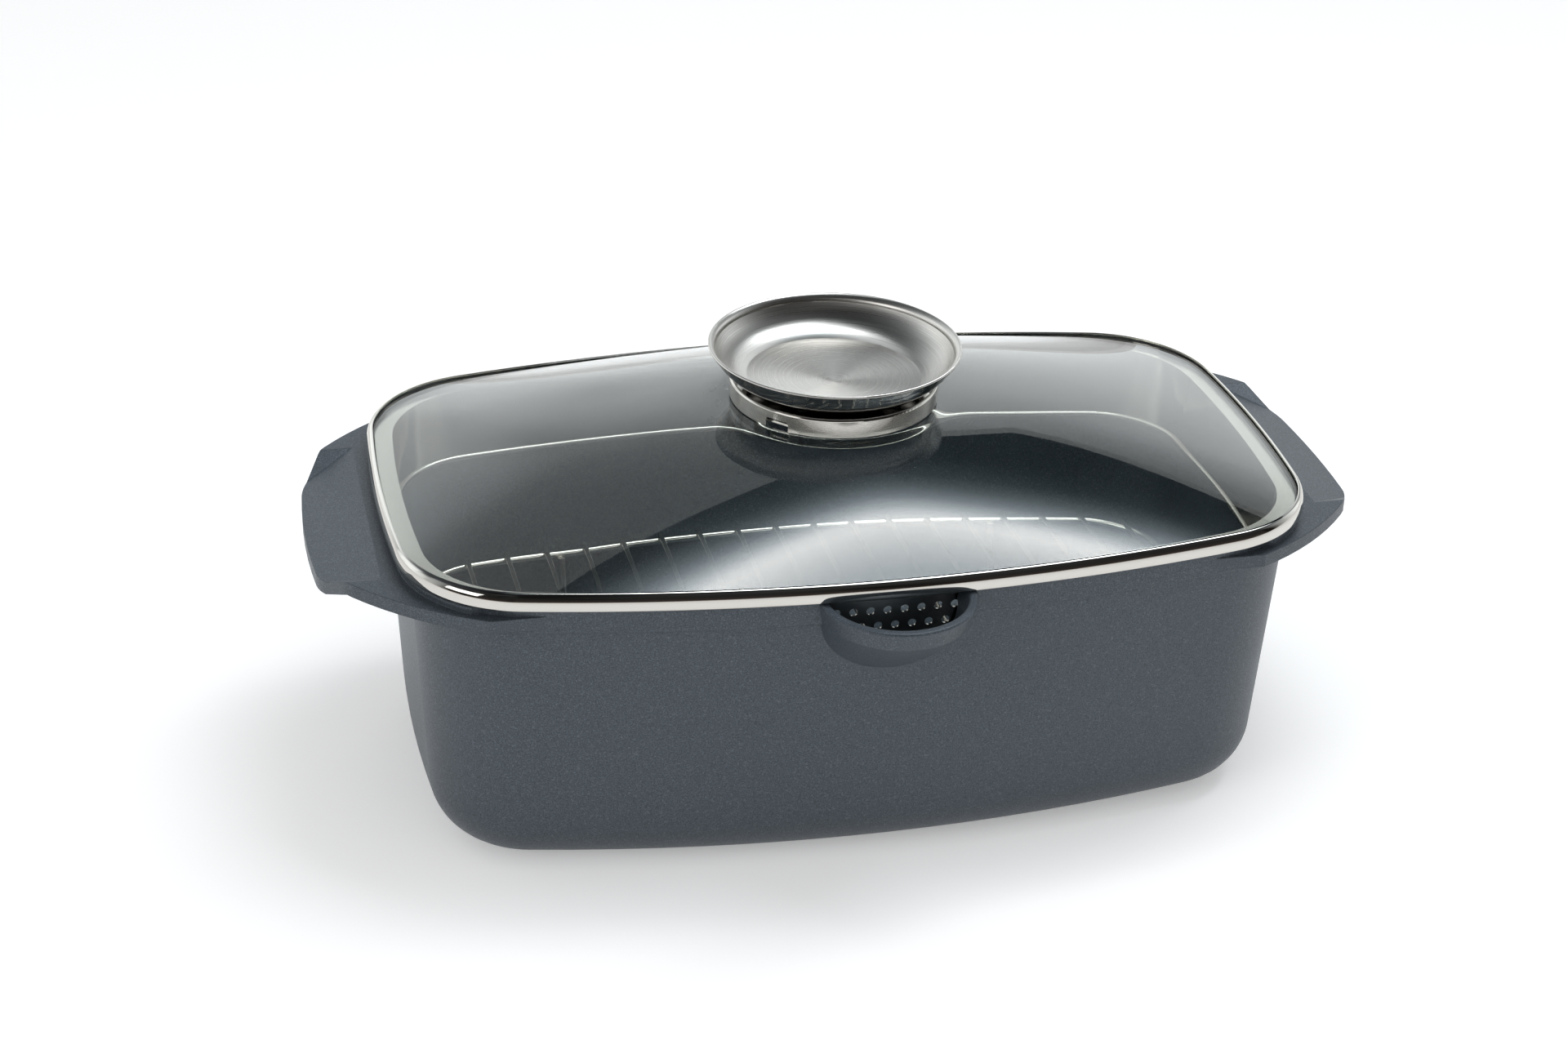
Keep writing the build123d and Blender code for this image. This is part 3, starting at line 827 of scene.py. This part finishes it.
def paneGrid(values):
    # Rings from the hole to the outline. The dome is shifted to meet the seat at flatRadius, and
    # the shift eases away to the edge. The height is the lower of the two, less a cubic that rounds
    # the bend: what their gap is short of soften, cubed, over six times soften squared
    turn = np.linspace(0, 2 * np.pi, values["columns"], endpoint=False)
    reach = outlineReach(turn, values["inset"])
    soft = reach.copy()
    for _ in range(values["smoothing"]):
        soft = (np.roll(soft, 1) + 2 * soft + np.roll(soft, -1)) / 4
    share = np.linspace(0, 1, values["rings"] + 1)[:, None]
    radius = values["hole"] + (reach[None, :] - values["hole"]) * share
    x, y = radius * np.cos(turn), radius * np.sin(turn)
    flat = values["flatRadius"]
    rim = domeHeight(flat * np.cos(turn), flat * np.sin(turn), flat, soft, values)
    along = np.clip((radius - flat) / (soft - flat), 0, 1)
    eased = 1 - along * along * (3 - 2 * along)
    shifted = domeHeight(x, y, radius, soft, values) + (values["seat"] - rim) * eased
    near = np.maximum(values["soften"] - np.abs(shifted - values["seat"]), 0)
    return x, y, np.minimum(shifted, values["seat"]) - near**3 / (6 * values["soften"] ** 2)


def closedShell(x, y, top, thickness):
    # Top grid, the same lower by the thickness, and quads that close the outer edge and the hole
    rings, columns = x.shape
    upper = np.stack([x, y, top], axis=-1).reshape(-1, 3)
    lower = upper - np.array([0.0, 0.0, thickness])
    topFaces = ringFaces(rings - 1, columns)
    count = rings * columns
    around = np.arange(columns)
    ahead = (around + 1) % columns
    outer = (rings - 1) * columns
    below = count + outer
    edge = np.stack([outer + around, below + around, below + ahead, outer + ahead], axis=-1)
    hole = np.stack([ahead, count + ahead, count + around, around], axis=-1)
    faces = np.concatenate([topFaces, topFaces[:, ::-1] + count, edge, hole])
    return np.concatenate([upper, lower]), faces


# Lid band: one steel strip rolled round the glass edge. Its shoulder is a quarter of an oval, as
# high as the dark stripe that it shows
bandSet = {
    "foot": 0.1273,
    "top": 0.1350,
    "sheet": 0.0008,
    "footRadius": 0.0018,
    "footLip": 0.0052,
    "topLip": 0.0029,
    "shoulder": 0.0055,
    "arcPoints": 13,
    "columns": 720,
}


def bandProfile(values):
    # Inset and height of the strip's closed section: foot lip, a quarter circle at the foot, a
    # quarter oval at the shoulder, and back one sheet further in
    rise = np.linspace(0, np.pi / 2, values["arcPoints"])
    foot, footLip, footRadius = values["foot"], values["footLip"], values["footRadius"]
    topLip, shoulder, sheet = values["topLip"], values["shoulder"], values["sheet"]
    middle = values["top"] - shoulder
    footHeight = foot + footRadius * (1 - np.cos(rise))
    footArc = np.stack([footRadius * (1 - np.sin(rise)), footHeight], axis=-1)
    outerOval = np.stack([topLip * (1 - np.cos(rise)), middle + shoulder * np.sin(rise)], axis=-1)
    innerInset = topLip - (topLip - sheet) * np.cos(rise)
    innerOval = np.stack([innerInset, middle + (shoulder - sheet) * np.sin(rise)], axis=-1)
    footInside = [[sheet, foot + sheet], [footLip, foot + sheet]]
    return np.concatenate([[[footLip, foot]], footArc, outerOval, innerOval[::-1], footInside])


def sweptRing(section, columns):
    # Each point of the section goes round the outline at its own inset and height
    turn = np.linspace(0, 2 * np.pi, columns, endpoint=False)
    reach = np.stack([outlineReach(turn, inset) for inset in section[:, 0]])
    height = np.repeat(section[:, 1:2], columns, axis=1)
    points = np.stack([reach * np.cos(turn), reach * np.sin(turn), height], axis=-1)
    faces = ringFaces(len(section), columns)[:, [0, 3, 2, 1]] % (len(section) * columns)
    return points.reshape(-1, 3), faces


sharpAngle = 40  # degrees


def smoothPiece(name, points, faces, node, slot):
    # A mesh piece on the lid, smooth but for edges over sharpAngle, in place of its CAD node
    mesh = newMesh(name, points.tolist(), faces.tolist())
    mesh.polygons.foreach_set("use_smooth", np.ones(len(faces), dtype=bool))
    mesh.set_sharp_from_angle(angle=math.radians(sharpAngle))
    mesh.materials.append(finishes[node])
    piece = newObject(name, mesh)
    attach(piece, "lid")
    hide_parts(node)


paneShape = closedShell(*paneGrid(paneSet), paneSet["thickness"])
smoothPiece("glassPane", *paneShape, "lid_glass", "clear_glass")
bandShape = sweptRing(bandProfile(bandSet), bandSet["columns"])
smoothPiece("bandStrip", *bandShape, "lid_band", "polished_steel")
stage("glass pane and band made")
